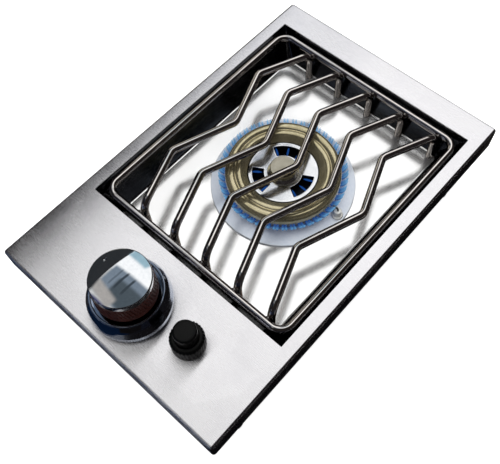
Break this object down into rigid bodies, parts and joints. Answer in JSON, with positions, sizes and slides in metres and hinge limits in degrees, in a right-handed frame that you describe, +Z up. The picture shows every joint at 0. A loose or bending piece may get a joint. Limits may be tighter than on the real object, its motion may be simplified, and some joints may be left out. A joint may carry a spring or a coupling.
{
  "type": "built in side burner",
  "caption": "Drop-in gas side burner with a zigzag rod grate over a polished recess, a brass ring burner, a valve knob and an igniter button, on a boxed base.",
  "frame": {"origin": "centre of the burner box's underside", "axes": "+X to the right and +Y to the back as seen by the cook, +Z up"},
  "size_m": [0.305, 0.472, 0.1715],
  "materials": {
    "brushed_steel_plate": "brushed stainless steel",
    "polished_steel": "mirror-polished stainless steel",
    "grate_rod_steel": "polished stainless round rod",
    "brass": "turned and polished brass",
    "cast_aluminium": "as-cast aluminium",
    "turned_aluminium": "turned aluminium",
    "porcelain": "white glazed alumina",
    "electrode_wire": "heat-darkened steel wire",
    "chrome": "bright chrome plate",
    "dark_grip": "moulded dark brown phenolic",
    "black_plastic": "moulded black plastic",
    "zinc_steel": "zinc-plated steel",
    "galvanised_sheet": "galvanised steel sheet",
    "plain_brass": "machined brass",
    "cell_jacket": "plain blue cell jacket",
    "spring_steel": "spring steel wire",
    "silicone_lead": "black silicone insulation",
    "nylon": "natural nylon"
  },
  "bodies": {
    "housing": {"battery_cell": "cell_jacket", "bezel_screws": "zinc_steel", "bonnet_screws": "zinc_steel", "bottom_tray": "galvanised_sheet", "bowl_screws": "zinc_steel", "burner_bowl": "cast_aluminium", "burner_box": "galvanised_sheet", "centre_cap": "brass", "contact_spring": "spring_steel", "electrode_clip": "zinc_steel", "flange_studs": "zinc_steel", "gas_jet": "plain_brass", "gas_pipe": "zinc_steel", "gas_valve_body": "plain_brass", "heat_shield": "galvanised_sheet", "igniter_module": "black_plastic", "ignition_lead": "silicone_lead", "inlet_fitting": "plain_brass", "inlet_locknut": "plain_brass", "inner_crown": "turned_aluminium", "knob_bezel": "chrome", "lead_clips": "nylon", "mixing_tube": "zinc_steel", "port_ring": "turned_aluminium", "recess_pan": "polished_steel", "spark_ceramic": "porcelain", "spark_pin": "electrode_wire", "steel_hub": "polished_steel", "stem_spring": "spring_steel", "stud_nuts": "zinc_steel", "top_flange": "brushed_steel_plate", "tray_screws": "zinc_steel", "trim_ring": "polished_steel", "valve_bracket": "galvanised_sheet", "window_disc": "polished_steel"},
    "grate": {"grate_rail": "grate_rod_steel", "grate_rod_1": "grate_rod_steel", "grate_rod_2": "grate_rod_steel", "grate_rod_3": "grate_rod_steel", "grate_rod_4": "grate_rod_steel", "grate_rod_5": "grate_rod_steel"},
    "flame_ring": {"brass_burner_ring": "brass"},
    "push_carrier": {"spring_washer": "zinc_steel"},
    "knob": {"knob_body": "dark_grip", "knob_cap": "chrome", "knob_insert": "zinc_steel", "valve_stem": "plain_brass"},
    "igniter_cap": {"igniter_collar": "black_plastic"},
    "igniter_push": {"igniter_button": "black_plastic"},
    "shutter": {"air_shutter": "zinc_steel", "shutter_screw": "zinc_steel"}
  },
  "joints": [
    {"name": "grate_lift", "type": "slide", "parent": "housing", "child": "grate", "axis": [0, 0, 1], "range_m": [0, 0.08]},
    {"name": "flame_ring_lift", "type": "slide", "parent": "housing", "child": "flame_ring", "axis": [0, 0, 1], "range_m": [0, 0.04]},
    {"name": "knob_push", "type": "slide", "parent": "housing", "child": "push_carrier", "axis": [0, 0, -1], "range_m": [0, 0.004], "stiffness_N_per_m": 1500, "springref_m": -0.004, "deforming": ["stem_spring"]},
    {"name": "knob_turn", "type": "hinge", "parent": "push_carrier", "child": "knob", "pos_m": [-0.008, -0.1845, 0.14], "axis": [0, 0, 1], "range_deg": [-82, 118]},
    {"name": "igniter_cap_off", "type": "slide", "parent": "housing", "child": "igniter_cap", "axis": [0, 0, 1], "range_m": [0, 0.03]},
    {"name": "igniter_press", "type": "slide", "parent": "igniter_cap", "child": "igniter_push", "axis": [0, 0, -1], "range_m": [0, 0.0035], "stiffness_N_per_m": 600, "springref_m": -0.003, "deforming": ["contact_spring"]},
    {"name": "shutter_turn", "type": "hinge", "parent": "housing", "child": "shutter", "pos_m": [-0.008, -0.1505, 0.054], "axis": [0, 1, 0], "range_deg": [0, 75]}
  ],
  "couplings": [
    {"joint": "flame_ring_lift", "follows": "grate_lift", "ratio": 0.5}
  ]
}
